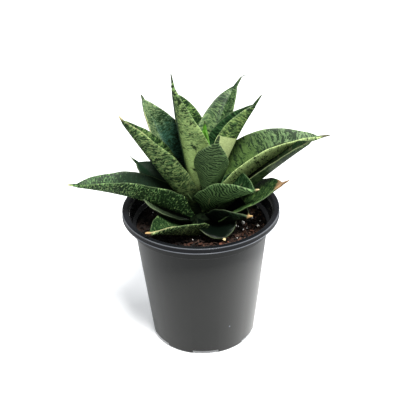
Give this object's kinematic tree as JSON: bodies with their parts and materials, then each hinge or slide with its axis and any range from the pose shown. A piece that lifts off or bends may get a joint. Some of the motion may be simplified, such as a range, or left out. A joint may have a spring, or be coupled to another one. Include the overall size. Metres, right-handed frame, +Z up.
{
  "type": "potted snake plant",
  "caption": "Short rosette snake plant with pointed, channelled, mottled leaves, growing in bark potting soil in a plain round black nursery pot.",
  "frame": {"origin": "on the pot's axis, on the surface that the pot stands on", "axes": "+Z up along the pot's axis, -Y towards the front, +X to the right"},
  "size_m": [0.1864, 0.114, 0.2146],
  "materials": {
    "pot_plastic": "moulded, satin black",
    "soil": "loose bark and peat, matte",
    "crown": "dry, fibrous",
    "leaf": "waxy, cross-banded",
    "young_leaf": "waxy, bright"
  },
  "bodies": {
    "root": {"nursery_pot": "pot_plastic", "potting_soil": "soil", "crown": "crown", "leaf_new_centre": "young_leaf", "leaf_right_upright": "leaf", "leaf_centre_tall": "leaf", "leaf_front_upright": "leaf", "leaf_back_right_tall": "leaf", "leaf_back_tall": "leaf", "leaf_left_long": "leaf", "leaf_right_long": "leaf", "leaf_back_left": "leaf", "leaf_front_right_cup": "leaf", "leaf_left_low": "leaf", "leaf_right_under": "leaf", "leaf_back_left_low": "leaf", "leaf_right_brown_tip": "leaf", "leaf_front_right_short": "leaf", "leaf_left_under": "leaf", "leaf_front_left_low": "leaf", "leaf_front_low": "leaf", "leaf_back_low_left": "leaf", "leaf_back_low": "leaf", "leaf_back_low_right": "leaf"}
  },
  "joints": []
}
